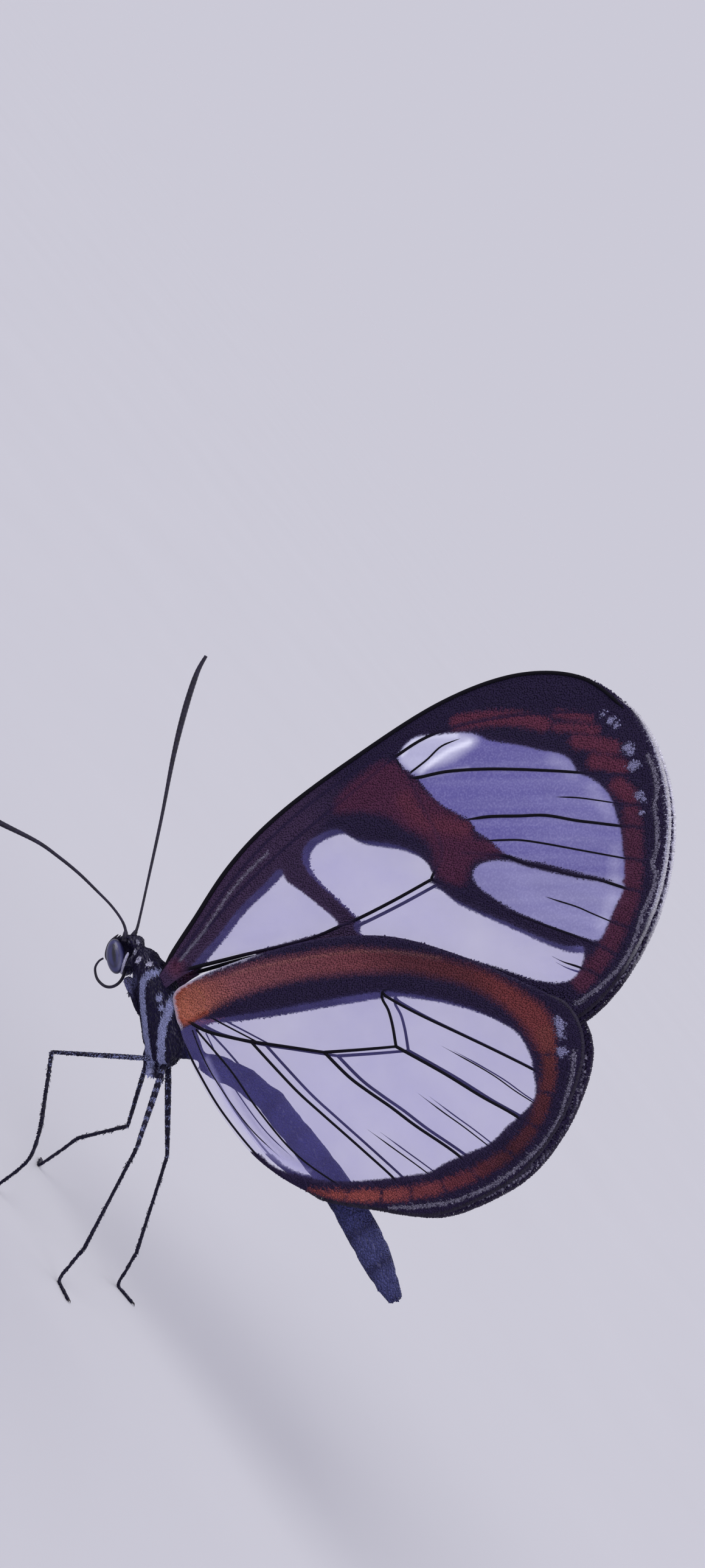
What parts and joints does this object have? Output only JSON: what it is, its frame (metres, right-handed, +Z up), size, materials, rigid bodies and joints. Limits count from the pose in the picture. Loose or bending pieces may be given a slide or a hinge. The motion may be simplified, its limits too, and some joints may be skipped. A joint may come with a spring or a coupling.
{
  "type": "glasswing butterfly",
  "caption": "Glasswing butterfly at rest, life size, wings closed: clear panes in dark and rust borders, slim body, long feelers, four walking legs.",
  "frame": {"origin": "on the plane that the feet stand on, under the middle of the whole box", "axes": "+Z up, -X towards the head, -Y towards the insect's left side"},
  "size_m": [0.0368, 0.0121, 0.0422],
  "materials": {
    "chitin": "matte, scaled",
    "abdomen": "satin, scaled",
    "limb": "satin, scaled",
    "eye": "glossy",
    "wing": "clear membrane with scaled borders"
  },
  "bodies": {
    "root": {"head": "chitin", "eye_left": "eye", "eye_right": "eye", "palp_left": "chitin", "palp_right": "chitin", "proboscis": "limb", "antenna_left": "limb", "antenna_right": "limb", "prothorax": "chitin", "mesothorax": "chitin", "metathorax": "chitin", "abdomen": "abdomen", "forewing_left": "wing", "forewing_right": "wing", "hindwing_left": "wing", "hindwing_right": "wing", "foreleg_left": "limb", "foreleg_right": "limb", "femur_mid_left": "limb", "femur_mid_right": "limb", "femur_hind_left": "limb", "femur_hind_right": "limb", "tibia_mid_left": "limb", "tibia_mid_right": "limb", "tibia_hind_left": "limb", "tibia_hind_right": "limb", "tarsus_mid_left": "limb", "tarsus_mid_right": "limb", "tarsus_hind_left": "limb", "tarsus_hind_right": "limb"}
  },
  "joints": []
}
